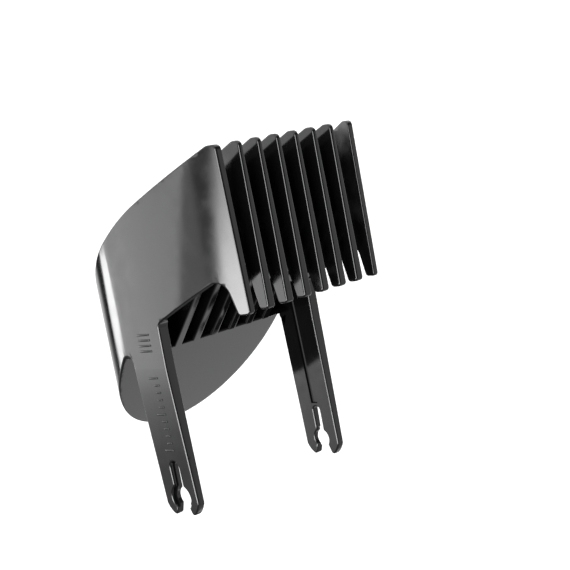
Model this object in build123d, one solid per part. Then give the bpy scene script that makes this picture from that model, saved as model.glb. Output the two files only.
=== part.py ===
"""Guide comb for a hair clipper, in millimetres.

The comb is one moulding. Its solids are the natural regions of that moulding, and they meet
face to face. Each arm and each clip prong is a body of its own, because the plastic flexes there.

Frame: the origin is midway between the two clip sockets, on their common axis.
X runs across the comb, +Y to its back, +Z up to the tips of the comb's skin side.
Side shapes are given as (depth, drop): depth behind the front edge, drop below the top edge.
"""
from build123d import *
import math
import os

# ---- driving dimensions ---------------------------------------------------------------
SOCKET_DEPTH = 31.6       # clip sockets: behind the front edge ...
SOCKET_DROP = 79.5        # ... and below the top edge

TINE_COUNT = 6
TINE_PITCH = 6.0
TINE_THIN = 1.1           # thickness of a tine at the top edge
TINE_GROWTH = 0.0305      # added thickness for each millimetre of drop (mould draft)
FRONT_HEIGHT = 37.65      # length of the front edges
NOSE_DROP = 0.1           # drop of the top of a front edge,
NOSE_R = 1.2              # which is rounded
LEG_DEPTH = 2.95          # depth of a front leg at its foot,
LEG_TIP_R = 0.9           # which has round corners

FRONT_HALF = 22.46        # outer half width at the front edge, at the top
FRONT_LEAN = 0.019        # the cheeks lean inwards by this much per millimetre of drop,
INNER_LEAN = 0.0154       # and their inner faces by this much
SIDE_HALF = 26.6          # outer half width along the sides
FLARE_DEPTH = 30.0        # the sides widen as far back as this
STRAIGHT_DEPTH = 40.0     # the rounded back starts here
BACK_DEPTH = 61.7         # outer depth of the comb
CHEEK_WALL = 1.85         # wall thickness at the front edge,
SIDE_WALL = 1.5           # along the sides,
BACK_WALL = 1.25          # and at the back
AHEAD = 5.0               # plan outlines start this far ahead of the front edges
CHEEK_END = 22.0          # depth at which the cheeks are told from the shell

TOP_START = (2.5, -0.05)  # behind a short flat, the top edge
TOP_START_R = 2.5         # turns
TOP_SLOPE = 21.8          # and falls away to the back at this many degrees,
TOP_BEND_DEPTH = 27.0     # straight as far as here,
TOP_BEND_R = 60.0         # then round this radius,
BACK_SLOPE = 44.0         # degrees: down to the back
CUT_SLOPE = 47.0          # degrees: the shell's lower edge and the undersides of the tines
SHELL_CUT = (41.3, 45.8)  # where the shell's lower edge starts
TINE_CUT = (25.2, 35.0)   # a point on the tines' undersides
TINE_NOTCH_DEPTH = 7.4    # they start here, behind the front leg,
TINE_NOTCH_R = 1.5
FOOT_DEPTH = 34.7         # and end here, at the underside plate
PLATE_WALL = 1.3          # thickness of the plate that closes the shell from below
CLIPPER_NOTCH_R = 1.8     # rounding where the shell's lower edge meets the arm

WINDOW_APEX = (5.1, 28.6)     # cut-out in each cheek: its highest corner, behind the front leg,
WINDOW_APEX_R = 3.4
WINDOW_BACK = (26.3, 37.6)    # and its rear corner, at the arm
WINDOW_BACK_R = 2.0

ARM_TOP = 48.0            # the arms flex here
ARM_GAP = 0.3             # left free between bodies that move
ARM_INNER = 23.55         # half the distance between the arms
ARM_TAPER = 0.029         # below ARM_TOP they get thinner by this much per millimetre of drop
ARM_FRONT = 26.48         # depth of the arms' front and rear edges at ARM_TOP,
ARM_REAR = 38.2
ARM_FRONT_LEAN = 0.0178   # which both lean forwards
ARM_REAR_LEAN = 0.0295
ARM_END = 84.8            # drop of the arm's tip
ARM_END_R = 6.1           # the tip is round
PAD_TOP = 36.0            # the arm's thicker root starts here, inside the wall,
PAD_SLOPE = 1.5           # with its top sloping this far above and below

SOCKET_R = 2.4
RECESS_R = 3.2            # round recess on the socket's outer side
RECESS_FLOOR = 24.8       # half width at the recess floor
SLOT_WIDTH = 2.2          # slot above the socket
SLOT_RECESS_WIDTH = 3.0
SLOT_TOP = 72.0           # centre of the slot's round end
NECK_WIDTH = 3.6          # where the mouth meets the socket,
MOUTH_WIDTH = 6.8         # and below the tips
TIP_R = 0.8               # rounding of the prongs' tips
GROOVE_WIDTH = 2.2        # guide groove along the arm's inner face
GROOVE_DEEP = 0.6
GROOVE_TOP = (32.5, 40.0)     # its upper and lower ends
GROOVE_FOOT = (31.8, 70.0)

MARK_HEIGHT = 0.2         # raised marks
MARK_DEPTH = 30.2         # their front ends line up here
TICK_COUNT = 11
TICK_PITCH = 1.75
TICK_TOP = 50.0
TICK_WIDTH = 0.45
LONG_TICK = 3.2
SHORT_TICK = 1.8
RIB_COUNT = 4
RIB_PITCH = 1.3
RIB_TOP = 39.6
RIB_LENGTH = 4.4
RIB_WIDTH = 0.5

LEG_CORNERS = [(0, FRONT_HEIGHT), (LEG_DEPTH, FRONT_HEIGHT)]
FAR = 100.0               # past everything
ABOVE = -5.0              # drops of the levels above the comb ...
BELOW = 75.0              # ... and below its shell that its tapers are given at


# ---- frame helpers ----------------------------------------------------------------------
def side(depth, drop):
    """A (depth, drop) point as (Y, Z) on the YZ plane."""
    return (depth - SOCKET_DEPTH, SOCKET_DROP - drop)


def along(slope, start, depth):
    """The point at this depth on a line that falls to the back at slope degrees."""
    return (depth, start[1] + math.tan(math.radians(slope)) * (depth - start[0]))


def meeting(start_a, end_a, start_b, end_b):
    """Where two straight lines in the side view cross."""
    run_a, run_b = Vector(*end_a) - Vector(*start_a), Vector(*end_b) - Vector(*start_b)
    apart = Vector(*start_b) - Vector(*start_a)
    found = Vector(*start_a) + run_a * (apart.cross(run_b).Z / run_a.cross(run_b).Z)
    return (found.X, found.Y)


def across(half_a, half_b, profile):
    """The side profile (a face on YZ) as a slab between two X planes."""
    return Pos(half_a, 0, 0) * extrude(profile, half_b - half_a, dir=(1, 0, 0))


def outline(*points):
    """A straight-edged side profile."""
    return Plane.YZ * make_face(Polyline(*[side(*p) for p in points], close=True))


def disc(depth, drop, radius):
    return Plane.YZ * (Pos(*side(depth, drop)) * Circle(radius))


def mirrored(solid):
    return mirror(solid, about=Plane.YZ)


def rounded(profile, corners, radius):
    """The profile with the corners nearest these (depth, drop) points rounded."""
    places = [Vector(0, *side(*c)) for c in corners]
    picked = [min(profile.vertices(), key=lambda v: (Vector(v) - p).length) for p in places]
    return fillet(picked, radius)


# ---- side profiles ----------------------------------------------------------------------
def under_top_edge():
    """Everything below the comb's top edge and behind its front edge."""
    first, last = math.radians(TOP_SLOPE), math.radians(BACK_SLOPE)
    bend = along(TOP_SLOPE, TOP_START, TOP_BEND_DEPTH)
    after = (bend[0] + TOP_BEND_R * (math.sin(last) - math.sin(first)),
             bend[1] + TOP_BEND_R * (math.cos(first) - math.cos(last)))
    half_chord = math.dist(bend, after) / 2
    sagitta = TOP_BEND_R - math.sqrt(TOP_BEND_R ** 2 - half_chord ** 2)
    nose = (0, NOSE_DROP)
    lines = [
        Polyline(side(0, FAR), side(*nose), side(*TOP_START), side(*bend)),
        SagittaArc(side(*bend), side(*after), sagitta),
        Polyline(side(*after), side(*along(BACK_SLOPE, after, FAR)), side(FAR, FAR), side(0, FAR)),
    ]
    shape = rounded(Plane.YZ * make_face(Curve() + lines), [TOP_START], TOP_START_R)
    return rounded(shape, [nose], NOSE_R)


def wall_profile():
    """The wall from the side: cheek, cut-out, arm root and shell."""
    notch = along(CUT_SLOPE, SHELL_CUT, ARM_REAR)
    shape = outline(
        (-1, ABOVE), (FAR, ABOVE), along(CUT_SLOPE, SHELL_CUT, FAR), notch, (ARM_REAR, ARM_TOP),
        (ARM_FRONT, ARM_TOP), WINDOW_BACK, WINDOW_APEX, (LEG_DEPTH, FRONT_HEIGHT), (-1, FRONT_HEIGHT))
    shape = rounded(shape, [notch], CLIPPER_NOTCH_R)
    shape = rounded(shape, [WINDOW_BACK], WINDOW_BACK_R)
    shape = rounded(shape, [WINDOW_APEX], WINDOW_APEX_R)
    return rounded(shape & under_top_edge(), LEG_CORNERS, LEG_TIP_R)


def plate_lines():
    """The underside plate's lower and upper lines, from the tines' feet to the back."""
    lower = [along(CUT_SLOPE, TINE_CUT, FOOT_DEPTH), SHELL_CUT, along(CUT_SLOPE, SHELL_CUT, FAR)]
    rise = PLATE_WALL / math.cos(math.radians(CUT_SLOPE))
    raised_foot, raised_cut = (FOOT_DEPTH, lower[0][1] - PLATE_WALL), (SHELL_CUT[0], SHELL_CUT[1] - PLATE_WALL)
    slope_start, slope_end = (SHELL_CUT[0], SHELL_CUT[1] - rise), (FAR, lower[2][1] - rise)
    knee = meeting(raised_foot, raised_cut, slope_start, slope_end)
    return lower, [raised_foot, knee, slope_end]


def tine_profile():
    """A tine from the side: front leg, deep notch for the clipper's blades, and the plate below it."""
    notch = along(CUT_SLOPE, TINE_CUT, TINE_NOTCH_DEPTH)
    lower, upper = plate_lines()
    shape = outline((-1, ABOVE), (FAR, ABOVE), *upper[::-1], lower[0], notch,
                    (LEG_DEPTH, FRONT_HEIGHT), (-1, FRONT_HEIGHT))
    shape = rounded(shape, [notch], TINE_NOTCH_R)
    return rounded(shape & under_top_edge(), LEG_CORNERS, LEG_TIP_R)


# ---- plan shapes ------------------------------------------------------------------------
def plan(drop, front_half, side_half, back_depth):
    """Closed U-shaped plan outline at one level: flared sides and a rounded back."""
    front, flare = -SOCKET_DEPTH, FLARE_DEPTH - SOCKET_DEPTH
    back = STRAIGHT_DEPTH - SOCKET_DEPTH
    flare_sag = (side_half - front_half) / 4
    ahead = front - AHEAD
    edges = []
    for s in (-1, 1):
        edges += [
            Line((s * front_half, ahead), (s * front_half, front)),
            SagittaArc((s * front_half, front), (s * side_half, flare), -s * flare_sag),
            Line((s * side_half, flare), (s * side_half, back))]
    edges += [
        Line((-front_half, ahead), (front_half, ahead)),
        EllipticalCenterArc((0, back), side_half, back_depth - STRAIGHT_DEPTH, arc_size=180)]
    return Pos(0, 0, SOCKET_DROP - drop) * make_face(Curve() + edges)


def envelope(inset_front, inset_side, inset_back, lean):
    """The space inside the plan outline, from above the comb to below its shell."""
    plans = []
    for drop in (ABOVE, BELOW):
        half = FRONT_HALF - inset_front - lean * drop
        plans.append(plan(drop, half, SIDE_HALF - inset_side, BACK_DEPTH - inset_back))
    return loft(plans, ruled=True)


def slab(depth_a, depth_b):
    """Everything between two depths."""
    return Pos(0, (depth_a + depth_b) / 2 - SOCKET_DEPTH, 0) * Box(2 * FAR, depth_b - depth_a, 4 * FAR)


def levels(drop_a, drop_b):
    """Everything between two drops."""
    return Pos(0, 0, SOCKET_DROP - (drop_a + drop_b) / 2) * Box(4 * FAR, 4 * FAR, drop_b - drop_a)


# ---- the wall, in three regions -----------------------------------------------------------
outer_space = envelope(0, 0, 0, FRONT_LEAN)
inner_space = envelope(CHEEK_WALL, SIDE_WALL, BACK_WALL, INNER_LEAN)
wall = (outer_space - inner_space) & across(-FAR, FAR, wall_profile())

half_left = Pos(-FAR, 0, 0) * Box(2 * FAR, 4 * FAR, 4 * FAR)
left_cheek = wall & slab(-1, CHEEK_END) & half_left
back_shell = wall & slab(CHEEK_END, FAR)


# ---- tines --------------------------------------------------------------------------------
def tine(index):
    """One tine, thicker towards its foot, ending on the shell's inner wall."""
    centre = (index - (TINE_COUNT + 1) / 2) * TINE_PITCH
    wedge = []
    for drop in (ABOVE, BELOW):
        thickness = TINE_THIN + TINE_GROWTH * drop
        wedge.append(Pos(centre, 0, SOCKET_DROP - drop) * Rectangle(thickness, 2 * FAR))
    return loft(wedge, ruled=True) & inner_space & across(-FAR, FAR, tine_profile())


# ---- arms and clips -------------------------------------------------------------------------
def arm_section(drop, extra):
    """The arm's rectangular section at one level, with extra on its outer face."""
    below = drop - ARM_TOP
    outer = SIDE_HALF - ARM_TAPER * below + extra
    front = ARM_FRONT - ARM_FRONT_LEAN * below
    rear = ARM_REAR - ARM_REAR_LEAN * below
    centre = (-(outer + ARM_INNER) / 2, (front + rear) / 2 - SOCKET_DEPTH, SOCKET_DROP - drop)
    return Pos(*centre) * Rectangle(outer - ARM_INNER, rear - front)


def arm_blank(extra=0.0):
    return loft([arm_section(ARM_TOP, extra), arm_section(ARM_END + 1, extra)], ruled=True)


def beside(half_width, drop):
    """The two points this far in front of and behind the socket's centre, at one drop."""
    return [(SOCKET_DEPTH - half_width, drop), (SOCKET_DEPTH + half_width, drop)]


def slot_and_socket(slot_width, socket_r):
    """The slot and the round socket below it, from the side."""
    half_slot = slot_width / 2
    top_left, top_right = beside(half_slot, SLOT_TOP)
    foot_left, foot_right = beside(half_slot, SOCKET_DROP)
    shape = disc(SOCKET_DEPTH, SOCKET_DROP, socket_r) + disc(SOCKET_DEPTH, SLOT_TOP, half_slot)
    return shape + outline(top_left, top_right, foot_right, foot_left)


def mouth():
    """The way into the socket from below: a neck, widening to the tips."""
    neck_drop = SOCKET_DROP + math.sqrt(SOCKET_R ** 2 - (NECK_WIDTH / 2) ** 2)
    neck_left, neck_right = beside(NECK_WIDTH / 2, neck_drop)
    in_left, in_right = beside(NECK_WIDTH / 2, SOCKET_DROP)
    out_left, out_right = beside(MOUTH_WIDTH / 2, ARM_END + 1)
    return outline(in_left, in_right, neck_right, out_right, out_left, neck_left)


def arm_outline():
    """The arm from the side, with its round tip, slot, socket and mouth."""
    round_drop = ARM_END - ARM_END_R
    upper_left, upper_right = beside(2 * ARM_END_R, ARM_TOP)
    lower_left, lower_right = beside(2 * ARM_END_R, round_drop)
    shape = disc(SOCKET_DEPTH, round_drop, ARM_END_R)
    shape += outline(upper_left, upper_right, lower_right, lower_left)
    shape -= slot_and_socket(SLOT_WIDTH, SOCKET_R) + mouth()
    return rounded(shape, beside(MOUTH_WIDTH / 2, ARM_END), TIP_R)


def groove():
    """The guide groove along the arm's inner face, in line with the slot."""
    half = GROOVE_WIDTH / 2
    top, top_drop = GROOVE_TOP
    foot, foot_drop = GROOVE_FOOT
    shape = outline((foot - half, foot_drop), (foot + half, foot_drop),
                    (top + half, top_drop), (top - half, top_drop))
    return across(-ARM_INNER - GROOVE_DEEP, -ARM_INNER + 1, shape)


def left_arm_whole():
    """The left arm below its root, with groove, slot and socket."""
    arm = arm_blank() & across(-FAR, FAR, arm_outline())
    arm -= across(-FAR, -RECESS_FLOOR, slot_and_socket(SLOT_RECESS_WIDTH, RECESS_R))
    return arm - groove()


def left_arm_pad():
    """The thicker root of the arm inside the wall, with a sloped top."""
    corners = [(-ARM_INNER, ARM_TOP), (-SIDE_HALF, ARM_TOP), (-SIDE_HALF, PAD_TOP - PAD_SLOPE),
               (-ARM_INNER, PAD_TOP + PAD_SLOPE)]
    section = make_face(Polyline(*[(x, SOCKET_DROP - drop) for x, drop in corners], close=True))
    pad = extrude(Plane.XZ.offset(SOCKET_DEPTH - ARM_FRONT) * section, ARM_FRONT - ARM_REAR)
    return (pad & inner_space) - groove()


arm_whole = left_arm_whole()
left_arm_root = left_arm_pad()
left_arm = arm_whole & levels(ARM_TOP + ARM_GAP, SLOT_TOP)
prongs = arm_whole & levels(SLOT_TOP + ARM_GAP, ARM_END + 1)
left_clip_front = prongs & slab(0, SOCKET_DEPTH)
left_clip_rear = prongs & slab(SOCKET_DEPTH, FAR)


# ---- underside plate ------------------------------------------------------------------------
plate_lower, plate_upper = plate_lines()
plate = inner_space & across(-FAR, FAR, outline(*plate_lower, *plate_upper[::-1]))
underside_plate = plate - left_arm_root - mirrored(left_arm_root)


# ---- raised marks ---------------------------------------------------------------------------
def bar(drop, length, width):
    """One mark from the side, running back from MARK_DEPTH."""
    back = MARK_DEPTH + length
    return outline((MARK_DEPTH, drop), (back, drop), (back, drop + width), (MARK_DEPTH, drop + width))


def length_scale():
    """A plain scale of raised ticks down the left arm."""
    ticks = []
    for step in range(TICK_COUNT):
        length = LONG_TICK if step % 5 == 0 else SHORT_TICK
        ticks.append(bar(TICK_TOP + TICK_PITCH * step, length, TICK_WIDTH))
    skin = arm_blank(MARK_HEIGHT) - arm_blank()
    return Part() + [across(-FAR, -ARM_INNER - 1, tick) & skin for tick in ticks]


def grip_ribs():
    """Four raised ribs on the wall above the left arm."""
    ribs = []
    for step in range(RIB_COUNT):
        ribs.append(bar(RIB_TOP + RIB_PITCH * step, RIB_LENGTH, RIB_WIDTH))
    return Part() + [across(-SIDE_HALF - MARK_HEIGHT, -SIDE_HALF, rib) for rib in ribs]


# ---- export -----------------------------------------------------------------------------------
nodes = {
    "left_cheek": left_cheek,
    "right_cheek": mirrored(left_cheek),
    "back_shell": back_shell,
    "underside_plate": underside_plate,
    "left_arm_root": left_arm_root,
    "right_arm_root": mirrored(left_arm_root),
    "left_arm": left_arm,
    "right_arm": mirrored(left_arm),
    "left_clip_front": left_clip_front,
    "left_clip_rear": left_clip_rear,
    "right_clip_front": mirrored(left_clip_front),
    "right_clip_rear": mirrored(left_clip_rear),
    "length_scale": length_scale(),
    "grip_ribs": grip_ribs(),
}
for number in range(1, TINE_COUNT + 1):
    nodes[f"tine_{number}"] = tine(number)

os.makedirs("parts", exist_ok=True)
for name, shape in nodes.items():
    export_step(shape, f"parts/{name}.step")
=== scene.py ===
"""Looks of the guide comb: one glossy black moulding, built as rounded plates around the CAD frame.

Every plate is first drawn flat, as rings of (run, drop, level) points, then cut into a fine grid and
wrapped onto its place. Lengths are in millimetres until they are written as metres. run is the way along
the wall from its left front edge (along the left side and on a tine it is the depth behind the front
edge), drop is measured down from the level of the comb's top, and level says how far into the plate a
point is.
"""
import math

import bmesh
import bpy
from mathutils import Matrix, Vector


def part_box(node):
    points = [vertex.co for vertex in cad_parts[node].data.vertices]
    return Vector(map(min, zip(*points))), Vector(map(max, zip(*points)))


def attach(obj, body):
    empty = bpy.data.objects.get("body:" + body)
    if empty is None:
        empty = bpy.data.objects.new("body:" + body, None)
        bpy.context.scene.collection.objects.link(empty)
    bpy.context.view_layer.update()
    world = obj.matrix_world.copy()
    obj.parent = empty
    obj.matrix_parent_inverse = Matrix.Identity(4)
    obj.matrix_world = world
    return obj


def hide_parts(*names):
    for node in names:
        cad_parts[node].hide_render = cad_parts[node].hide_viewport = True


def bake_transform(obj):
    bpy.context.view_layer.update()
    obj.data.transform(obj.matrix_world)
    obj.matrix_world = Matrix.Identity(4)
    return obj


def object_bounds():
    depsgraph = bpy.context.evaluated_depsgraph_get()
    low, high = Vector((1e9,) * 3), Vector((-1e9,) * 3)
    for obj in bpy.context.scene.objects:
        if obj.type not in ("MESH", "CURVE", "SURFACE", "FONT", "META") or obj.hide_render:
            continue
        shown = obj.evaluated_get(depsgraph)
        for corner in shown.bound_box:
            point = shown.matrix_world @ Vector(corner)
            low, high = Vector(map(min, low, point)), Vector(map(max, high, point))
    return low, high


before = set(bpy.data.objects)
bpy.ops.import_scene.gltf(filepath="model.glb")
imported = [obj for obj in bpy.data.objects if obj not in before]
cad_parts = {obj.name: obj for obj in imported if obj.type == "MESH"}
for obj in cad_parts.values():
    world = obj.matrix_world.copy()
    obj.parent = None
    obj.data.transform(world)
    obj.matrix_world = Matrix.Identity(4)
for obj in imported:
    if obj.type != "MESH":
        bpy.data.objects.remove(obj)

cad_low, cad_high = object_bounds()

MM = 0.001
TINE_COUNT = 6

# ---- the comb's shape, in millimetres ---------------------------------------------------
SOCKET_DEPTH = 31.6
SOCKET_DROP = 79.5
FRONT_HEIGHT = 37.65
FRONT_HALF, FRONT_LEAN = 22.46, 0.019
INNER_FRONT_HALF, INNER_LEAN = 20.61, 0.0154
SIDE_HALF, INNER_SIDE_HALF = 26.6, 25.1
FLARE_DEPTH, STRAIGHT_DEPTH = 30.0, 40.0
BACK_LENGTH, INNER_BACK_LENGTH = 21.7, 20.45
BACK_RUN = 24.0 * math.pi
WALL_RUN = 2 * STRAIGHT_DEPTH + BACK_RUN

TOP_START, TOP_SLOPE = (2.5, -0.05), 21.8
TOP_BEND_DEPTH, TOP_BEND_R, BACK_SLOPE = 27.0, 60.0, 44.0
CUT_SLOPE, SHELL_CUT, TINE_CUT = 47.0, (41.3, 45.8), (25.2, 35.0)
NOSE_DROP, NOSE_R, TOP_START_R = 0.1, 1.2, 2.5
FRONT_MIDDLE = 20.0
LEG_DEPTH, LEG_TIP_R = 2.95, 0.9
LEG_TIP = [(LEG_DEPTH, FRONT_HEIGHT, LEG_TIP_R), (0, FRONT_HEIGHT, LEG_TIP_R), (0, FRONT_MIDDLE)]
LEG_DRAFT = 0.8           # how much deeper the cheeks' front legs are inside than outside
DRAFT_START, DRAFT_END, DRAFT_DROPS = (1.3, 2.3), (8.5, 5.0), (24.0, 29.0)    # where it grows from 0 to all
WINDOW_APEX, WINDOW_APEX_R, WINDOW_BACK, WINDOW_BACK_R = (5.1, 28.6), 3.4, (26.3, 37.6), 2.0
CLIPPER_NOTCH_R = 1.8
FOOT_DEPTH, PLATE_WALL, FOOT_ROUND, FOOT_RIM = 34.7, 1.3, 1.1, 0.12
PLATE_KNEE = 0.61         # how far behind the shell's cut the underside plate's upper face bends
HOOD_START = 4            # the point round the back where the lower edge turns up to the arm
HOOD_GAP, HOOD_BAND = 0.1, 0.4      # an edge this far behind the arm and this near the cut is a lower edge

ARM_TOP, ARM_SPLIT = 48.0, 72.0
ARM_INNER, ARM_TAPER, TAPER_EASE = 23.55, 0.029, 4.0
ARM_FRONT, ARM_FRONT_LEAN = 26.48, 0.0178
ARM_REAR, ARM_REAR_LEAN = 38.2, 0.0295
ARM_END, ARM_END_R = 84.8, 6.1
PAD_TOP, PAD_SLOPE = 36.0, 1.5
PAD_FRONT, PAD_REAR = (25.0, 25.6), (38.6, 38.3)    # the pad's two sloping sides, each from foot to top
SOCKET_R, RECESS_R, RECESS_FLOOR = 2.4, 3.2, 24.8
SLOT_WIDTH, SLOT_RECESS_WIDTH = 2.2, 3.0
NECK_WIDTH, MOUTH_WIDTH = 3.6, 6.8
MOUTH_DROP = ARM_END + 1.0          # where the mouth's two sides would be MOUTH_WIDTH apart
TIP_R, TIP_RISE, TIP_SPACING = 0.8, 0.6, 0.2
TIP_TURN = 14.0                     # the arm's round end stops this many degrees before the tip
GROOVE_WIDTH, GROOVE_DEEP, GROOVE_TOP, GROOVE_END = 2.2, 0.6, 40.0, 70.0
GROOVE_OFF, GROOVE_LEAN = 0.2, 0.7  # how far it is behind the socket, and how much further at its top
GROOVE_EDGE = 0.15                  # width of its sloping sides

TINE_THIN, TINE_GROWTH = 1.1, 0.0305
TINE_NOTCH_DEPTH, TINE_NOTCH_R = 7.4, 1.5

RIM_R = 0.4               # rounding of the wall's and the arms' edges
HOOD_RIM = 0.8            # how far it reaches in along the shell's lower edge
TINE_RIM_R = 0.48         # rounding of a tine's edges
TINE_RIM_REACH = 0.15     # how far it reaches in along a tine's right face
RIM_STEPS = 5
TURNS = 90                # steps round the back
SLOT_STEPS, SOCKET_STEPS, END_STEPS = 16, 20, 10
SIDE_GRID, BACK_GRID, TINE_GRID, ARM_GRID, PRONG_GRID = 1.5, 1.2, 6.0, 3.0, 2.0
SHARP_ANGLE, SHADING_WEIGHT = math.radians(38), 90
SAME, TOUCH, HIDDEN = 1e-6, 0.01, 0.02    # equal, at the end, and how far a face is kept inside another piece
FLAT_MERGE, CUT_MERGE, PLACED_MERGE = 1e-5, 1e-4, 1e-7    # nearer points become one; the last is in metres
LEAST_TURN = 0.05         # two edges that turn less than this, as a sine, count as straight
FAR_SIDE = 1000.0         # levels are depths below the outer face, or FAR_SIDE less those below the inner
LEDGE = 500.0             # the level of the recess floor around the sockets


# ---- flat outlines ------------------------------------------------------------------------
def along(slope, start, depth):
    """The point at a depth on a line that falls by slope degrees from start."""
    return (depth, start[1] + math.tan(math.radians(slope)) * (depth - start[0]))


def top_drop(depth):
    """Drop of the top edge: straight, then bent, then straight again."""
    first, last = math.radians(TOP_SLOPE), math.radians(BACK_SLOPE)
    bend = along(TOP_SLOPE, TOP_START, TOP_BEND_DEPTH)
    turn = math.sin(first) + (depth - bend[0]) / TOP_BEND_R
    if turn <= math.sin(first):
        return along(TOP_SLOPE, TOP_START, depth)[1]
    if turn < math.sin(last):
        return bend[1] + TOP_BEND_R * (math.cos(first) - math.sqrt(1 - turn * turn))
    after = bend[0] + TOP_BEND_R * (math.sin(last) - math.sin(first))
    drop = bend[1] + TOP_BEND_R * (math.cos(first) - math.cos(last))
    return drop + math.tan(last) * (depth - after)


def rounded(corners, spacing=0.25):
    """Points of an open path: each corner is (run, drop) or (run, drop, radius)."""
    points = []
    for i, corner in enumerate(corners):
        here = Vector(corner[:2])
        if len(corner) == 2 or i in (0, len(corners) - 1):
            points.append(here)
            continue
        radius = corner[2]
        to_last = (Vector(corners[i - 1][:2]) - here).normalized()
        to_next = (Vector(corners[i + 1][:2]) - here).normalized()
        half = to_last.angle(to_next) / 2
        centre = here + (to_last + to_next).normalized() * (radius / math.sin(half))
        start = here + to_last * (radius / math.tan(half)) - centre
        sweep = (math.pi - 2 * half) * math.copysign(1, start.cross(-to_last))
        count = max(3, round(abs(sweep) * radius / spacing))
        for k in range(count + 1):
            points.append(centre + Matrix.Rotation(sweep * k / count, 2) @ start)
    return points


def arc(centre, radius, first, last, count):
    """Points round a circle, between two angles in degrees: 0 is to the back and 90 down."""
    angles = [math.radians(first + (last - first) * k / count) for k in range(count + 1)]
    return [Vector((centre[0] + radius * math.cos(a), centre[1] + radius * math.sin(a))) for a in angles]


def top_edge(end_depth):
    """The front edge's rounded nose and the top edge, as far back as end_depth."""
    corners = [(0, FRONT_MIDDLE), (0, NOSE_DROP, NOSE_R), (*TOP_START, TOP_START_R)]
    start = TOP_START[0] + TOP_START_R
    nose = rounded(corners + [along(TOP_SLOPE, TOP_START, start)])
    count = round(end_depth - start)
    depths = [start + (end_depth - start) * k / count for k in range(1, count)]
    return nose[1:] + [Vector((d, top_drop(d))) for d in depths]


def back_depth(turn):
    """Depth of the wall's outer face at an angle round its back, 0 at the left and pi at the right."""
    return STRAIGHT_DEPTH + BACK_LENGTH * math.sin(turn)


def depth_at(run):
    """Depth of the wall's outer face at a run."""
    near = min(run, WALL_RUN - run)
    return near if near <= STRAIGHT_DEPTH else back_depth(math.pi * (near - STRAIGHT_DEPTH) / BACK_RUN)


def run_at(depth):
    """Run of the left side at a depth."""
    beyond = max(0.0, depth - STRAIGHT_DEPTH)
    return min(depth, STRAIGHT_DEPTH) + BACK_RUN / math.pi * math.asin(beyond / BACK_LENGTH)


def hood_cut(depth):
    """Drop of the shell's lower edge."""
    return along(CUT_SLOPE, SHELL_CUT, depth)[1]


def wall_outline():
    """The whole wall laid flat, down to the edges where the arms meet it."""
    turns = [math.pi * k / TURNS for k in range(TURNS + 1)]
    leave = back_depth(turns[HOOD_START])
    below = rounded([
        (leave, hood_cut(leave)), (ARM_REAR, hood_cut(ARM_REAR), CLIPPER_NOTCH_R), (ARM_REAR, ARM_TOP),
        (ARM_FRONT, ARM_TOP), (*WINDOW_BACK, WINDOW_BACK_R), (*WINDOW_APEX, WINDOW_APEX_R), *LEG_TIP])
    below = [Vector((run_at(p.x), p.y)) for p in below]
    left_top = top_edge(STRAIGHT_DEPTH)
    over = [Vector((STRAIGHT_DEPTH + BACK_RUN * t / math.pi, top_drop(back_depth(t)))) for t in turns]
    under = [Vector((p.x, hood_cut(depth_at(p.x)))) for p in over[HOOD_START + 1:-HOOD_START - 1]]
    flip = [Vector((WALL_RUN - p.x, p.y)) for p in left_top[::-1] + below[::-1]]
    return left_top + over + flip + under[::-1] + below


def plate_drops(depth):
    """Drops of the underside plate's lower and upper faces."""
    foot = along(CUT_SLOPE, TINE_CUT, FOOT_DEPTH)[1]
    ledge = foot + (SHELL_CUT[1] - foot) * (depth - FOOT_DEPTH) / (SHELL_CUT[0] - FOOT_DEPTH)
    rise = PLATE_WALL / math.cos(math.radians(CUT_SLOPE))
    return max(ledge, hood_cut(depth)), max(ledge - PLATE_WALL, hood_cut(depth) - rise)


def tine_outline(end_depth):
    """A tine, with its lower end a little way into the underside plate."""
    inside, sunk = FOOT_DEPTH + PLATE_WALL, PLATE_WALL / 2
    below = [(depth, plate_drops(depth)[1] + sunk) for depth in (end_depth, SHELL_CUT[0], inside)]
    below += [(inside, plate_drops(inside)[0] - HIDDEN), along(CUT_SLOPE, TINE_CUT, FOOT_DEPTH),
              (*along(CUT_SLOPE, TINE_CUT, TINE_NOTCH_DEPTH), TINE_NOTCH_R), *LEG_TIP]
    return top_edge(end_depth) + [Vector((end_depth, top_drop(end_depth)))] + rounded(below)


def arm_edge(end, drop):
    """Depth of the arm's front (-1) or rear (1) edge."""
    if end < 0:
        return ARM_FRONT - ARM_FRONT_LEAN * (drop - ARM_TOP)
    return ARM_REAR - ARM_REAR_LEAN * (drop - ARM_TOP)


def arm_outlines():
    """The arm between its root and the slot's top: at the outer face, and through."""
    found = []
    corners = ((-1, ARM_SPLIT), (-1, ARM_TOP), (1, ARM_TOP), (1, ARM_SPLIT))
    for width in (SLOT_RECESS_WIDTH, SLOT_WIDTH):
        slot = arc((SOCKET_DEPTH, ARM_SPLIT), width / 2, 0, -180, SLOT_STEPS)
        found.append([Vector((arm_edge(end, drop), drop)) for end, drop in corners] + slot)
    return found


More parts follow.
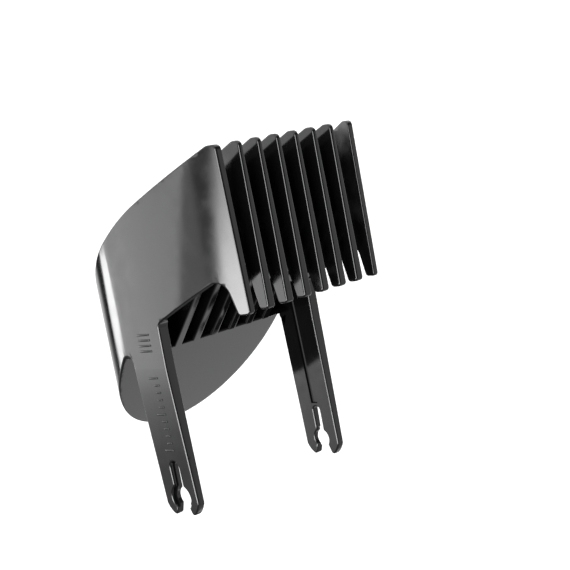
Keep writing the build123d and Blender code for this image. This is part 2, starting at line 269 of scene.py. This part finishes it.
def prong_outlines(end):
    """One prong of the fork: at the outer face, and through. end is -1 in front of the socket, 1 behind."""
    half_neck, half_mouth = NECK_WIDTH / 2, MOUTH_WIDTH / 2
    neck_drop = SOCKET_DROP + math.sqrt(SOCKET_R ** 2 - half_neck ** 2)
    lean = (half_mouth - half_neck) / (MOUTH_DROP - neck_drop)

    def half_opening(drop):
        return half_neck + lean * (drop - neck_drop)

    round_drop = ARM_END - ARM_END_R
    tip_angle = math.asin(half_opening(ARM_END - TIP_RISE) / ARM_END_R)
    tip = (ARM_END_R * math.sin(tip_angle), round_drop + ARM_END_R * math.cos(tip_angle))
    tip_end = math.degrees(math.pi / 2 - tip_angle)
    side = abs(arm_edge(end, ARM_SPLIT) - SOCKET_DEPTH)
    side_low = abs(arm_edge(end, round_drop) - SOCKET_DEPTH)
    join = math.degrees(math.acos(side_low / ARM_END_R))
    outside = arc((0, round_drop), ARM_END_R, join, tip_end - TIP_TURN, END_STEPS)
    found = []
    for width, radius in ((SLOT_RECESS_WIDTH, RECESS_R), (SLOT_WIDTH, SOCKET_R)):
        meet = neck_drop
        for _ in range(SOCKET_STEPS):    # settles on the point where the mouth's side meets the circle
            meet = SOCKET_DROP + math.sqrt(radius ** 2 - half_opening(meet) ** 2)
        last = math.degrees(math.atan2(meet - SOCKET_DROP, half_opening(meet)))
        first = -math.degrees(math.acos(width / 2 / radius))
        opening = [Vector((width / 2, ARM_SPLIT)), *arc((0, SOCKET_DROP), radius, first, last, SOCKET_STEPS)]
        corner = rounded([outside[-1], (*tip, TIP_R), opening[-1]], TIP_SPACING)[1:-1]
        ring = opening + corner[::-1] + outside[::-1] + [Vector((side, ARM_SPLIT))]
        found.append([Vector((SOCKET_DEPTH + end * p.x, p.y)) for p in ring])
    return found


# ---- plates -------------------------------------------------------------------------------
def signed_area(ring):
    """Area inside the ring, negative where its points go round the other way."""
    return sum(a.cross(b) for a, b in zip(ring, ring[1:] + ring[:1])) / 2


def inset(ring, amounts):
    """The ring moved inwards, by its own amount for each edge."""
    moved = []
    for i, here in enumerate(ring):
        before = (here - ring[i - 1]).normalized()
        after = (ring[(i + 1) % len(ring)] - here).normalized()
        n1, n2 = Vector((-before.y, before.x)), Vector((-after.y, after.x))
        d1, d2 = amounts[i - 1], amounts[i]
        det = n1.cross(n2)
        if abs(det) > LEAST_TURN:
            shift = Vector((d1 * n2.y - d2 * n1.y, n1.x * d2 - n2.x * d1)) / det
        else:
            shift = (n1 + n2).normalized() * max(d1, d2)
        moved.append(here + shift)
    return moved


def plate(bm, outer, inner, rim, reach, ledge=False):
    """A rounded plate in flat space. reach says how far the rounding of an edge comes in on each face."""
    if signed_area(outer) < 0:
        outer, inner = outer[::-1], inner[::-1]
    reaches = [reach(a, b) for a, b in zip(outer, outer[1:] + outer[:1])]
    turns = [math.pi / 2 * k / RIM_STEPS for k in range(RIM_STEPS + 1)]
    rings = []
    for t in turns:
        rings.append((inset(outer, [r[0] * (1 - math.sin(t)) for r in reaches]), rim * (1 - math.cos(t))))
    if ledge:
        rings += [(outer, LEDGE), (inner, LEDGE)]
    for t in turns[::-1]:
        level = FAR_SIDE - rim * (1 - math.cos(t))
        rings.append((inset(inner, [r[1] * (1 - math.sin(t)) for r in reaches]), level))
    made = [[bm.verts.new((p.x, p.y, level)) for p in ring] for ring, level in rings]
    for first, second in zip(made, made[1:]):
        for i in range(len(first)):
            bm.faces.new((first[i - 1], first[i], second[i], second[i - 1]))
    bm.faces.new(made[0][::-1])
    bm.faces.new(made[-1])
    bmesh.ops.remove_doubles(bm, verts=bm.verts, dist=FLAT_MERGE)
    bmesh.ops.dissolve_degenerate(bm, edges=bm.edges, dist=FLAT_MERGE)


def cut_grid(bm, runs, drops, slants=()):
    """Cuts the flat plate along lines, so that it can follow a curved place."""
    planes = [((run, 0, 0), (1, 0, 0)) for run in runs] + [((0, drop, 0), (0, 1, 0)) for drop in drops]
    for co, no in planes + list(slants):
        geom = bm.verts[:] + bm.edges[:] + bm.faces[:]
        bmesh.ops.bisect_plane(bm, geom=geom, dist=CUT_MERGE, plane_co=co, plane_no=no)


def steps(first, last, step):
    """Even steps from first to last, about as long as step."""
    count = max(1, round((last - first) / step))
    return [first + (last - first) * k / count for k in range(count + 1)]


def finished(bm, name, place, material):
    """Wraps the flat plate onto its place and makes it an object."""
    for v in bm.verts:
        v.co = place(*v.co)
    bmesh.ops.remove_doubles(bm, verts=bm.verts, dist=PLACED_MERGE)
    bmesh.ops.dissolve_degenerate(bm, edges=bm.edges, dist=PLACED_MERGE)
    bmesh.ops.recalc_face_normals(bm, faces=bm.faces)
    mesh = bpy.data.meshes.new(name)
    bm.to_mesh(mesh)
    bm.free()
    mesh.materials.append(material)
    mesh.shade_smooth()
    mesh.set_sharp_from_angle(angle=SHARP_ANGLE)
    piece = bpy.data.objects.new(name, mesh)
    bpy.context.scene.collection.objects.link(piece)
    weighted = piece.modifiers.new("even_shading", "WEIGHTED_NORMAL")
    weighted.keep_sharp = True
    weighted.weight = SHADING_WEIGHT
    return piece


# ---- places --------------------------------------------------------------------------------
def part_point(x, depth, drop):
    """A point of the part in metres, from the socket's centre between the two arms."""
    return Vector((x, depth - SOCKET_DEPTH, SOCKET_DROP - drop)) * MM


def ramp(value, start, end):
    """0 before start, 1 past end and even in between; start may be the larger one."""
    return min(1.0, max(0.0, (value - start) / (end - start)))


def groove_centre(drop):
    """Depth of the guide groove's middle line."""
    return SOCKET_DEPTH + GROOVE_OFF + GROOVE_LEAN * (GROOVE_END - drop) / (GROOVE_END - GROOVE_TOP)


def side_faces(depth, drop):
    """Half widths of the outer and inner faces along a side: flared wall, pad, arm and groove."""
    ahead = max(0.0, 1 - depth / FLARE_DEPTH) ** 2
    high = min(drop, ARM_TOP)
    outer = SIDE_HALF - ahead * (SIDE_HALF - FRONT_HALF + FRONT_LEAN * high)
    inner = INNER_SIDE_HALF - ahead * (INNER_SIDE_HALF - INNER_FRONT_HALF + INNER_LEAN * high)
    below = drop - high
    outer -= ARM_TAPER * (below ** 2 / (2 * TAPER_EASE) if below < TAPER_EASE else below - TAPER_EASE / 2)
    pad = ramp(drop, PAD_TOP, PAD_TOP + PAD_SLOPE) * ramp(depth, *PAD_FRONT) * ramp(depth, *PAD_REAR)
    inner += (ARM_INNER - inner) * pad
    beside = GROOVE_WIDTH / 2 - abs(depth - groove_centre(drop))
    groove = ramp(beside, 0, GROOVE_EDGE) * ramp(drop, GROOVE_TOP, GROOVE_TOP + GROOVE_EDGE)
    groove *= ramp(drop, GROOVE_END, GROOVE_END - GROOVE_EDGE)
    return outer, inner + GROOVE_DEEP * groove * pad


def on_wall(run, drop, level):
    """The place of a flat wall or arm point."""
    right = run > WALL_RUN / 2
    near = WALL_RUN - run if right else run
    if near <= STRAIGHT_DEPTH:
        draft = LEG_DRAFT * ramp(near, *DRAFT_START) * ramp(near, *DRAFT_END) * ramp(drop, *DRAFT_DROPS)
        drafted = near + draft
        outer = Vector((-side_faces(near, drop)[0], near, drop))
        inner = Vector((-side_faces(drafted, drop)[1], drafted, drop))
    else:
        turn = math.pi * (near - STRAIGHT_DEPTH) / BACK_RUN
        outer = Vector((-SIDE_HALF * math.cos(turn), back_depth(turn), drop))
        inner_depth = STRAIGHT_DEPTH + INNER_BACK_LENGTH * math.sin(turn)
        turned = ramp(drop, top_drop(outer.y), hood_cut(outer.y))
        slope = math.radians(BACK_SLOPE + (CUT_SLOPE - BACK_SLOPE) * turned)
        shear = math.tan(slope) * (outer.y - inner_depth)
        inner = Vector((-INNER_SIDE_HALF * math.cos(turn), inner_depth, drop - shear))
    inwards = (inner - outer).normalized()
    if level == LEDGE:
        point = Vector((-RECESS_FLOOR, near, drop))
    elif level < LEDGE:
        point = outer + inwards * level
    else:
        point = inner - inwards * (FAR_SIDE - level)
    return part_point(-point.x if right else point.x, point.y, point.z)


def on_tine(centre, end_depth):
    """The place of a flat tine point: drafted, with its end inside the shell's wall."""
    def place(run, drop, level):
        half = (TINE_THIN + TINE_GROWTH * drop) / 2
        x = centre - half + level if level < LEDGE else centre + half - (FAR_SIDE - level)
        if run > end_depth - TOUCH:
            half_side = (SIDE_HALF + INNER_SIDE_HALF) / 2
            half_back = (BACK_LENGTH + INNER_BACK_LENGTH) / 2
            run = STRAIGHT_DEPTH + half_back * math.sqrt(1 - (x / half_side) ** 2)
        return part_point(x, run, drop)
    return place


# ---- materials -----------------------------------------------------------------------------
def plastic():
    """Glossy black moulded plastic: near-black, with faint flow marks and a little handling haze."""
    mat = bpy.data.materials.new("gloss_black_plastic")
    mat.use_nodes = True
    nodes, links = mat.node_tree.nodes, mat.node_tree.links
    shader = nodes["Principled BSDF"]
    shader.inputs["IOR"].default_value = 1.5
    place = nodes.new("ShaderNodeTexCoord")

    def noise(scale, detail):
        node = nodes.new("ShaderNodeTexNoise")
        node.inputs["Scale"].default_value = scale
        node.inputs["Detail"].default_value = detail
        links.new(place.outputs["Object"], node.inputs["Vector"])
        return node.outputs["Fac"]

    def mapped(value, low, high, to_low, to_high):
        node = nodes.new("ShaderNodeMapRange")
        sockets = ("From Min", "From Max", "To Min", "To Max")
        for socket, number in zip(sockets, (low, high, to_low, to_high)):
            node.inputs[socket].default_value = number
        links.new(value, node.inputs["Value"])
        return node.outputs["Result"]

    tone = nodes.new("ShaderNodeValToRGB")
    tone.color_ramp.elements[0].color = (0.0022, 0.0022, 0.0024, 1)
    tone.color_ramp.elements[1].color = (0.0038, 0.0038, 0.004, 1)
    links.new(noise(90, 4), tone.inputs["Fac"])
    links.new(tone.outputs["Color"], shader.inputs["Base Color"])
    links.new(mapped(noise(260, 5), 0.35, 0.7, 0.07, 0.13), shader.inputs["Roughness"])

    flow = nodes.new("ShaderNodeBump")
    flow.inputs["Strength"].default_value = 0.025
    flow.inputs["Distance"].default_value = 0.0003
    links.new(noise(45, 1), flow.inputs["Height"])
    skin = nodes.new("ShaderNodeBump")
    skin.inputs["Strength"].default_value = 0.04
    skin.inputs["Distance"].default_value = 0.00002
    links.new(noise(2600, 2), skin.inputs["Height"])
    links.new(flow.outputs["Normal"], skin.inputs["Normal"])
    links.new(skin.outputs["Normal"], shader.inputs["Normal"])
    return mat


def floor_paint():
    """Matt off-white paint."""
    mat = bpy.data.materials.new("pale_floor")
    mat.use_nodes = True
    shader = mat.node_tree.nodes["Principled BSDF"]
    shader.inputs["Base Color"].default_value = (0.9, 0.9, 0.9, 1)
    shader.inputs["Roughness"].default_value = 0.9
    return mat


# ---- pieces --------------------------------------------------------------------------------
def rim_all_round(rim, *square_drops):
    """The rounding of every edge but those along these drops, which meet another piece."""
    def reach(a, b):
        square = any(abs(a.y - d) < SAME and abs(b.y - d) < SAME for d in square_drops)
        return (0.0, 0.0) if square else (rim, rim)
    return reach


def wall_reach(a, b):
    """The wall's rounding: its lower edge is flush with the underside plate on the inside."""
    if abs(a.y - ARM_TOP) < SAME and abs(b.y - ARM_TOP) < SAME:
        return 0.0, 0.0
    depths = depth_at(a.x), depth_at(b.x)
    above_cut = max(hood_cut(depth) - p.y for p, depth in zip((a, b), depths))
    if min(depths) > ARM_REAR + HOOD_GAP and above_cut < HOOD_BAND:
        return HOOD_RIM, 0.0
    return RIM_R, RIM_R


def groove_lines(mirrored):
    """Slanted cuts along the guide groove's two sides."""
    lines = []
    for side in (-1, 1):
        for across in (0, GROOVE_EDGE):
            ends = []
            for drop in (GROOVE_TOP, GROOVE_END):
                depth = groove_centre(drop) + side * (GROOVE_WIDTH / 2 - across)
                ends.append(Vector((WALL_RUN - depth if mirrored else depth, drop, 0)))
            way = ends[1] - ends[0]
            lines.append((tuple(ends[0]), (way.y, -way.x, 0)))
    return lines


WALL_DROPS, TINE_DROPS = steps(2, 66, 4), steps(4, 64, 6)    # where their grids cut across


def wall_piece(material):
    """Both cheeks, the shell and the arm roots in one."""
    bm = bmesh.new()
    outline = wall_outline()
    plate(bm, outline, outline, RIM_R, wall_reach)
    sides = steps(0, FLARE_DEPTH, SIDE_GRID)
    sides += [*PAD_FRONT, FLARE_DEPTH + 4, FLARE_DEPTH + 6, *PAD_REAR[::-1], STRAIGHT_DEPTH]
    back = steps(STRAIGHT_DEPTH, WALL_RUN - STRAIGHT_DEPTH, BACK_GRID)
    drops = WALL_DROPS + [PAD_TOP, PAD_TOP + PAD_SLOPE, GROOVE_TOP, GROOVE_TOP + GROOVE_EDGE]
    runs = sides + [WALL_RUN - s for s in sides] + back
    cut_grid(bm, runs, drops, groove_lines(False) + groove_lines(True))
    piece = finished(bm, "comb_wall", on_wall, material)
    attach(piece, "comb")
    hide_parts("left_cheek", "right_cheek", "back_shell", "left_arm_root", "right_arm_root")


def tine_piece(number, material):
    """One tine, where the CAD has it."""
    node = f"tine_{number}"
    low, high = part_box(node)
    centre = (low.x + high.x) / 2 / MM
    end_depth = high.y / MM + SOCKET_DEPTH
    bm = bmesh.new()
    outline = tine_outline(end_depth)

    def reach(a, b):
        return (0.0, 0.0) if min(a.x, b.x) > end_depth - SAME else (TINE_RIM_R, TINE_RIM_REACH)

    plate(bm, outline, outline, TINE_RIM_R, reach)
    cut_grid(bm, steps(TINE_DROPS[0], end_depth - 1, TINE_GRID), TINE_DROPS)
    piece = finished(bm, f"{node}_plate", on_tine(centre, end_depth), material)
    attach(piece, "comb")
    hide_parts(node)


def plate_piece(material):
    """The plate that closes the shell from below, flush with the shell's lower edge."""
    rows = []

    def row(depth, half, trim=0.0):
        lower, upper = plate_drops(depth)
        below, above = trim * FOOT_RIM, trim * FOOT_ROUND
        rows.append([(-half, depth, lower - below), (half, depth, lower - below),
                     (half, depth, upper + above), (-half, depth, upper + above)])

    for k in range(RIM_STEPS + 1):
        t = math.pi / 2 * k / RIM_STEPS
        row(FOOT_DEPTH + FOOT_ROUND * (1 - math.sin(t)), ARM_INNER, 1 - math.cos(t))
    rows.reverse()
    row(PAD_REAR[1], ARM_INNER)
    row(PAD_REAR[0], INNER_SIDE_HALF)
    knee = SHELL_CUT[0] + PLATE_KNEE
    turns = [math.pi * k / TURNS for k in range(TURNS // 2)]
    turns += [math.asin((d - STRAIGHT_DEPTH) / INNER_BACK_LENGTH) for d in (SHELL_CUT[0], knee)]
    for t in sorted(turns):
        row(STRAIGHT_DEPTH + INNER_BACK_LENGTH * math.sin(t), INNER_SIDE_HALF * math.cos(t))
    bm = bmesh.new()
    made = [[bm.verts.new(part_point(*p)) for p in points] for points in rows]
    for first, second in zip(made, made[1:]):
        for i in range(4):
            bm.faces.new((first[i - 1], first[i], second[i], second[i - 1]))
    bm.faces.new(made[0])
    bm.faces.new(made[-1][::-1])
    piece = finished(bm, "underside_plate_panel", lambda x, y, z: Vector((x, y, z)), material)
    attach(piece, "comb")
    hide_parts("underside_plate")


def sided(ring, mirrored):
    """A ring of the left side, or its mirror image on the right."""
    return [Vector((WALL_RUN - p.x, p.y)) for p in ring] if mirrored else ring


def flex(piece):
    """Bakes the piece's placing into its mesh."""
    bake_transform(piece)


def arm_pieces(side, material):
    """One arm and its two prongs."""
    mirrored = side == "right"
    reach = rim_all_round(RIM_R, ARM_TOP, ARM_SPLIT)
    outer, inner = (sided(ring, mirrored) for ring in arm_outlines())
    bm = bmesh.new()
    plate(bm, outer, inner, RIM_R, reach, ledge=True)
    cut_grid(bm, [], steps(ARM_TOP, ARM_SPLIT, ARM_GRID)[1:-1] + [GROOVE_END, GROOVE_END - GROOVE_EDGE],
             groove_lines(mirrored))
    arm = finished(bm, f"{side}_arm_bar", on_wall, material)
    flex(arm)
    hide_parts(f"{side}_arm")
    for name, end in (("front", -1), ("rear", 1)):
        outer, inner = (sided(ring, mirrored) for ring in prong_outlines(end))
        bm = bmesh.new()
        plate(bm, outer, inner, RIM_R, reach, ledge=True)
        cut_grid(bm, [], steps(ARM_SPLIT, ARM_SPLIT + 5 * PRONG_GRID, PRONG_GRID)[1:])
        prong = finished(bm, f"{side}_clip_{name}_prong", on_wall, material)
        flex(prong)
        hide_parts(f"{side}_clip_{name}")


# ---- raised marks on the left side -----------------------------------------------------------
MARK_DEPTH = 30.2
MARK_PROFILE = ((0.15, 0.0), (-0.05, 0.0), (-0.14, 0.05), (-0.2, 0.15))    # (level, how far it is drawn in)
MARK_ROUND, MARK_SPACING = 0.4, 0.06    # corner radius as a part of the width, spacing of its points
TICK_COUNT, TICK_PITCH, TICK_TOP, TICK_WIDTH = 11, 1.75, 50.0, 0.45
LONG_TICK, SHORT_TICK, LONG_EVERY = 3.2, 1.8, 5
RIB_COUNT, RIB_PITCH, RIB_TOP, RIB_WIDTH, RIB_LENGTH = 4, 1.3, 39.6, 0.5, 4.4


def bars(name, marks, material):
    """Raised bars with softened tops; marks are (drop, length, width)."""
    bm = bmesh.new()
    for drop, length, width in marks:
        end, low_drop, radius = MARK_DEPTH + length, drop + width, width * MARK_ROUND
        middle = (MARK_DEPTH + length / 2, drop)
        corners = [(end, drop, radius), (end, low_drop, radius), (MARK_DEPTH, low_drop, radius),
                   (MARK_DEPTH, drop, radius)]
        ring = rounded([middle, *corners, middle], MARK_SPACING)[:-1]
        rings = []
        for level, shrink in MARK_PROFILE:
            rings.append([bm.verts.new((p.x, p.y, level)) for p in inset(ring, [shrink] * len(ring))])
        for first, second in zip(rings, rings[1:]):
            for i in range(len(first)):
                bm.faces.new((first[i - 1], first[i], second[i], second[i - 1]))
        bm.faces.new(rings[0][::-1])
        bm.faces.new(rings[-1])
    return finished(bm, name, on_wall, material)


def mark_pieces(material):
    """The ticks on the arm, and the ribs above them on the wall."""
    ticks = []
    for k in range(TICK_COUNT):
        ticks.append((TICK_TOP + TICK_PITCH * k, SHORT_TICK if k % LONG_EVERY else LONG_TICK, TICK_WIDTH))
    scale = bars("length_scale_ticks", ticks, material)
    flex(scale)
    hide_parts("length_scale")
    ribs = [(RIB_TOP + RIB_PITCH * k, RIB_LENGTH, RIB_WIDTH) for k in range(RIB_COUNT)]
    grip = bars("grip_rib_bars", ribs, material)
    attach(grip, "comb")
    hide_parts("grip_ribs")


# ---- studio ----------------------------------------------------------------------------------
FLOOR_GAP, FLOOR_REACH, BACKDROP_R, BACKDROP_HEIGHT = 0.05, 3.0, 1.0, 2.5    # metres
BACKDROP_SIDES, BACKDROP_STEPS = 72, 8


def floor():
    """A round pale floor whose edge curves up into a backdrop; it is left out of reflections."""
    mesh = bpy.data.meshes.new("floor")
    ground = cad_low.z - FLOOR_GAP
    sections = [(FLOOR_REACH, ground)]
    for k in range(1, BACKDROP_STEPS + 1):
        t = math.pi / 2 * k / BACKDROP_STEPS
        sections.append((FLOOR_REACH + BACKDROP_R * math.sin(t), ground + BACKDROP_R * (1 - math.cos(t))))
    sections.append((FLOOR_REACH + BACKDROP_R, ground + BACKDROP_HEIGHT))
    places, faces = [(0.0, 0.0, ground)], []
    for radius, z in sections:
        for k in range(BACKDROP_SIDES):
            t = 2 * math.pi * k / BACKDROP_SIDES
            places.append((radius * math.cos(t), radius * math.sin(t), z))
    for k in range(BACKDROP_SIDES):
        after = (k + 1) % BACKDROP_SIDES
        faces.append((0, 1 + k, 1 + after))
        for ring in range(len(sections) - 1):
            first = 1 + ring * BACKDROP_SIDES
            second = first + BACKDROP_SIDES
            faces.append((first + k, second + k, second + after, first + after))
    mesh.from_pydata(places, [], faces)
    mesh.materials.append(floor_paint())
    piece = bpy.data.objects.new("floor", mesh)
    bpy.context.scene.collection.objects.link(piece)
    piece.visible_glossy = False
    piece.visible_diffuse = False
    piece.visible_shadow = False


# Light round the horizon, set until the reflections matched the photograph: (angle, light), with
# the angle in degrees from +X towards +Y. The camera looks towards 46 degrees, so the cards near 110 and 180
# are on its left.
ROUND_LIGHT = [
    (0, 1.1), (45, 1.15), (62, 0.95), (74, 0.9),                                # the wall ahead
    (84, 0.4), (92, 0.12), (98, 0.2),                                           # a dark corner
    (101, 2.2), (104, 5.5), (108, 8.5), (114, 11.0), (119, 12.8), (124, 14.5),  # the tall bright card
    (125.3, 3.4), (135, 3.65), (150, 3.85),                                     # a wall beside it
    (185, 12.0), (212, 12.0),                                                   # the second bright card
    (220, 0.2), (298, 0.2),                                                     # dark behind the camera
    (308, 0.85), (335, 0.8), (345, 1.1), (360, 1.1)]                            # the wall on the right
BRIGHTEST = 16.0    # the ramp holds colours up to 1, so its lights are divided by this


class Sky:
    """The studio's light: soft cards laid over one another all round. Every angle is in degrees: angle runs
    round the horizon as in ROUND_LIGHT, and height is measured up from the horizon."""

    def __init__(self):
        world = bpy.data.worlds.new("studio")
        bpy.context.scene.world = world
        world.use_nodes = True
        self.nodes, self.links = world.node_tree.nodes, world.node_tree.links
        place = self.nodes.new("ShaderNodeTexCoord")
        parts = self.nodes.new("ShaderNodeSeparateXYZ")
        self.links.new(place.outputs["Generated"], parts.inputs[0])
        degrees = 180 / math.pi
        angle = self.maths("ARCTAN2", parts.outputs["Y"], parts.outputs["X"])
        angle = self.maths("ADD", self.maths("MULTIPLY", angle, degrees), 360)
        self.angle = self.maths("MODULO", angle, 360)
        self.height = self.maths("MULTIPLY", self.maths("ARCSINE", parts.outputs["Z"]), degrees)
        self.light = self.round_light()

    def feed(self, sockets, values):
        for socket, value in zip(sockets, values):
            if isinstance(value, (int, float)):
                socket.default_value = value
            else:
                self.links.new(value, socket)

    def maths(self, kind, *values):
        node = self.nodes.new("ShaderNodeMath")
        node.operation = kind
        self.feed(node.inputs, values)
        return node.outputs[0]

    def between(self, value, start, end, first=0.0, last=1.0):
        """Softly from first at start to last at end; start may be the larger one."""
        node = self.nodes.new("ShaderNodeMapRange")
        node.interpolation_type = "SMOOTHSTEP"
        self.feed(node.inputs, (value, start, end, first, last))
        return node.outputs[0]

    def turn(self, start, end):
        """A mask that grows from 0 to 1 between two angles."""
        return self.between(self.angle, start, end)

    def up(self, start, end, first=0.0, last=1.0):
        """The same between two heights."""
        return self.between(self.height, start, end, first, last)

    def slanted(self, value, other, middle, slope):
        """The value less slope times the other's way past the middle, which slants a straight edge."""
        past = self.maths("SUBTRACT", other, middle)
        return self.maths("SUBTRACT", value, self.maths("MULTIPLY", past, slope))

    def round_light(self):
        card = self.nodes.new("ShaderNodeValToRGB")
        points = card.color_ramp.elements
        while len(points) < len(ROUND_LIGHT):
            points.new(0.5)
        for point, (angle, light) in zip(points, ROUND_LIGHT):
            point.position = angle / 360
            point.color = (light / BRIGHTEST,) * 3 + (1,)
        self.links.new(self.maths("DIVIDE", self.angle, 360), card.inputs["Fac"])
        return self.maths("MULTIPLY", card.outputs["Color"], BRIGHTEST)

    def lay(self, light, *masks):
        """Lays a card over the light so far, where all its masks are 1."""
        node = self.nodes.new("ShaderNodeMix")
        mask = masks[0]
        for other in masks[1:]:
            mask = self.maths("MULTIPLY", mask, other)
        self.feed((node.inputs[0], node.inputs[2], node.inputs[3]), (mask, self.light, light))
        self.light = node.outputs[0]


def wall_ahead(sky):
    """The wall ahead is lighter just below the horizon, at its left end."""
    sky.lay(1.25, sky.up(-8, -3), sky.turn(56, 62), sky.turn(92, 80))


def tall_card(sky):
    """Darkness above the tall bright card, with a paler strip over it. The card's top corner and its foot
    are cut at a slant."""
    top = sky.slanted(sky.height, sky.maths("MINIMUM", sky.angle, 112), 112, 0.33)
    sky.lay(0.03, sky.between(top, -3.3, -1.5), sky.turn(93, 97), sky.turn(125, 123))
    sky.lay(0.03, sky.up(-3, -1.8), sky.turn(62, 67), sky.turn(125, 123))
    sky.lay(2.3, sky.up(0.8, 1.4), sky.turn(96, 99), sky.turn(125, 123))
    foot = sky.slanted(sky.height, sky.angle, 124, 0.25)
    sky.lay(3.4, sky.between(foot, -4.9, -7.6), sky.turn(106, 112), sky.turn(126, 125))


def second_card(sky):
    """A dark gap with slanted sides, and the second bright card beyond it, which is brighter at its foot."""
    gap = sky.slanted(sky.angle, sky.height, 0, 1.6)
    sky.lay(1.5, sky.between(gap, 152.6, 155.2), sky.turn(130, 136), sky.turn(200, 185))
    sky.lay(sky.up(-5.5, -2.5, 1.0, 0.5), sky.turn(154.5, 156.5), sky.turn(175, 165))
    edge = sky.slanted(sky.angle, sky.height, -8, 0.35)
    sky.lay(sky.up(-9, 1, 17.0, 2.0), sky.between(edge, 157.6, 162), sky.turn(190, 182))


def left_side(sky):
    """The left side is weaker above eye level and fades towards the floor."""
    sky.lay(1.9, sky.up(0.2, 1.0), sky.turn(130, 132), sky.turn(156, 150))
    sky.lay(1.4, sky.up(-8.5, -9.3), sky.turn(131, 133.5), sky.turn(152, 146))
    sky.lay(0.6, sky.up(-7.2, -15), sky.turn(92, 98), sky.turn(134, 131))
    sky.lay(0.5, sky.up(-12.5, -16), sky.turn(131, 134), sky.turn(165, 155))


def light_from_below(sky):
    """Dim light from below, darker on the left, with a paler patch on the right and a dark one ahead."""
    sky.lay(0.6, sky.up(-18, -30))
    sky.lay(0.2, sky.up(-18, -30), sky.turn(66, 76), sky.turn(215, 200))
    sky.lay(1.15, sky.up(-30, -44), sky.up(-66, -56), sky.turn(30, 20))
    sky.lay(0.08, sky.up(-18, -26), sky.up(-58, -50), sky.turn(24, 32), sky.turn(75, 65))


def ceiling(sky):
    """The ceiling is even, with darkness below it on the camera's right."""
    sky.lay(1.8, sky.up(7, 12))
    sky.lay(0.15, sky.up(1, 8), sky.up(52, 38), sky.turn(212, 220), sky.turn(348, 330))


def studio_light():
    """Every card in turn, and then the world takes the light."""
    sky = Sky()
    for card in (wall_ahead, tall_card, second_card, left_side, light_from_below, ceiling):
        card(sky)
    sky.links.new(sky.light, sky.nodes["Background"].inputs["Color"])


# Where the camera stands, in millimetres, and how it is turned, in degrees: away from +Y, up, and over.
CAMERA_PLACE = (-214.15, -240.59, 75.49)
CAMERA_YAW, CAMERA_PITCH, CAMERA_ROLL = -44.3542, -5.7674, -10.9852
CAMERA_LENS, CAMERA_SENSOR = 83.2, 36.0


def camera():
    """The photograph's camera."""
    data = bpy.data.cameras.new("camera")
    data.sensor_width = CAMERA_SENSOR
    data.lens = CAMERA_LENS
    data.clip_start = 0.01
    eye = bpy.data.objects.new("camera", data)
    turns = ((CAMERA_YAW, "Z"), (90 + CAMERA_PITCH, "X"), (CAMERA_ROLL, "Z"))
    yaw, pitch, roll = (Matrix.Rotation(math.radians(angle), 4, axis) for angle, axis in turns)
    eye.matrix_world = Matrix.Translation(Vector(CAMERA_PLACE) * MM) @ yaw @ pitch @ roll
    bpy.context.scene.collection.objects.link(eye)
    bpy.context.scene.camera = eye


# ---- build -----------------------------------------------------------------------------------
black = plastic()
wall_piece(black)
for tine_number in range(1, TINE_COUNT + 1):
    tine_piece(tine_number, black)
plate_piece(black)
arm_pieces("left", black)
arm_pieces("right", black)
mark_pieces(black)
floor()
studio_light()
camera()
bpy.context.scene.view_settings.view_transform = "Standard"
